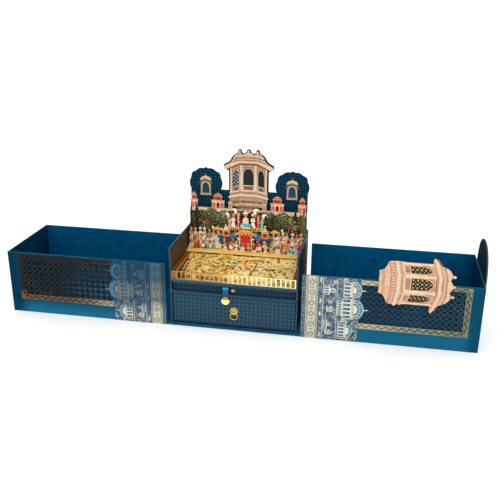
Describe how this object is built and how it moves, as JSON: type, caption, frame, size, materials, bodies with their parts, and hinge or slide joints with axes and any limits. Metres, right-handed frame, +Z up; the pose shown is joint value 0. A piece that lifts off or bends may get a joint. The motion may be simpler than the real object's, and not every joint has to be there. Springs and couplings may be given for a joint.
{
  "type": "folding gift box",
  "caption": "Folding display gift box: a drawer cabinet with a gilt balcony scene and jharokha backdrop, between half shells that hinge up to enclose it.",
  "frame": {"origin": "middle of the base board's underside, on the surface that the box stands on", "axes": "+X to the right along the open box, +Y away from the viewer, +Z up"},
  "size_m": [0.811, 0.1605, 0.283],
  "materials": {
    "teal_board": "rigid board wrapped in linen-embossed teal paper",
    "navy_board": "rigid board wrapped in printed navy paper",
    "slate_board": "rigid board wrapped in slate-blue paper",
    "dotted_board": "slate-blue paper with a fine printed dot grid",
    "lattice_board": "dark paper printed with a gold diagonal lattice, blue edges",
    "gold_mirror": "gold mirror board",
    "gold_metal": "polished gold plate",
    "foil_paper": "gold foil print",
    "print_paper": "printed paper with foil",
    "jali_card": "pierced card",
    "sandstone_card": "printed sandstone-coloured card, built up in layers",
    "scene_card": "printed die-cut card",
    "garden_card": "printed die-cut card",
    "steel": "nickel plate",
    "hinge_cloth": "book cloth",
    "ribbon_satin": "satin ribbon"
  },
  "bodies": {
    "cabinet": {"base_board": "teal_board", "cabinet_left_side": "lattice_board", "cabinet_right_side": "lattice_board", "cabinet_bottom": "slate_board", "cabinet_divider": "slate_board", "balcony_deck": "slate_board", "balcony_floor": "gold_mirror", "left_ledge": "gold_mirror", "right_ledge": "gold_mirror", "rear_ledge": "gold_mirror", "front_balustrade": "gold_mirror", "procession_panel": "scene_card", "garden_panel": "garden_card", "front_spacer": "slate_board", "rear_spacer": "slate_board", "back_panel": "navy_board", "backdrop_jharokha_body": "sandstone_card", "backdrop_jharokha_roof": "sandstone_card", "arch_window_left": "sandstone_card", "arch_window_right": "sandstone_card"},
    "left_half": {"left_floor": "teal_board", "left_front_wall": "teal_board", "left_back_wall": "teal_board", "left_end_wall": "teal_board", "left_hinge_cloth": "hinge_cloth", "left_print_band": "print_paper", "left_foil_frame": "foil_paper", "left_jali_panel": "jali_card", "left_keeper_plate": "steel"},
    "right_half": {"right_floor": "teal_board", "right_front_wall": "teal_board", "right_back_wall": "teal_board", "right_end_wall": "teal_board", "right_hinge_cloth": "hinge_cloth", "right_print_band": "print_paper", "right_foil_frame": "foil_paper", "right_jali_panel": "jali_card", "closing_tongue": "navy_board", "tongue_magnet": "steel", "relief_back_plate": "navy_board", "relief_lattice": "jali_card", "relief_body": "sandstone_card", "relief_roof": "sandstone_card"},
    "lower_drawer": {"drawer_front": "dotted_board", "drawer_bottom": "slate_board", "drawer_left_side": "slate_board", "drawer_right_side": "slate_board", "drawer_rear": "slate_board", "drawer_rosette": "gold_metal"},
    "drawer_ring": {"pull_ring": "gold_metal"},
    "slim_drawer": {"slim_front": "dotted_board", "slim_bottom": "slate_board", "slim_left_side": "slate_board", "slim_right_side": "slate_board", "slim_rear": "slate_board", "slim_stud": "gold_metal", "ribbon_root": "ribbon_satin"},
    "ribbon_tab": {"ribbon_pull": "ribbon_satin", "ribbon_medal": "gold_metal"}
  },
  "joints": [
    {"name": "left_half_fold", "type": "hinge", "parent": "cabinet", "child": "left_half", "pos_m": [-0.1139, 0, 0], "axis": [0, -1, 0], "range_deg": [-90, 0]},
    {"name": "right_half_fold", "type": "hinge", "parent": "cabinet", "child": "right_half", "pos_m": [0.1139, 0, 0], "axis": [0, 1, 0], "range_deg": [-90, 0]},
    {"name": "lower_drawer_slide", "type": "slide", "parent": "cabinet", "child": "lower_drawer", "axis": [0, -1, 0], "range_m": [0, 0.095]},
    {"name": "drawer_ring_swing", "type": "hinge", "parent": "lower_drawer", "child": "drawer_ring", "pos_m": [0.0015, -0.0706, 0.03085], "axis": [-1, 0, 0], "range_deg": [0, 90]},
    {"name": "slim_drawer_slide", "type": "slide", "parent": "cabinet", "child": "slim_drawer", "axis": [0, -1, 0], "range_m": [0, 0.095]},
    {"name": "ribbon_swing", "type": "hinge", "parent": "slim_drawer", "child": "ribbon_tab", "pos_m": [-0.01265, -0.0722, 0.0752], "axis": [-1, 0, 0], "range_deg": [0, 90]}
  ]
}
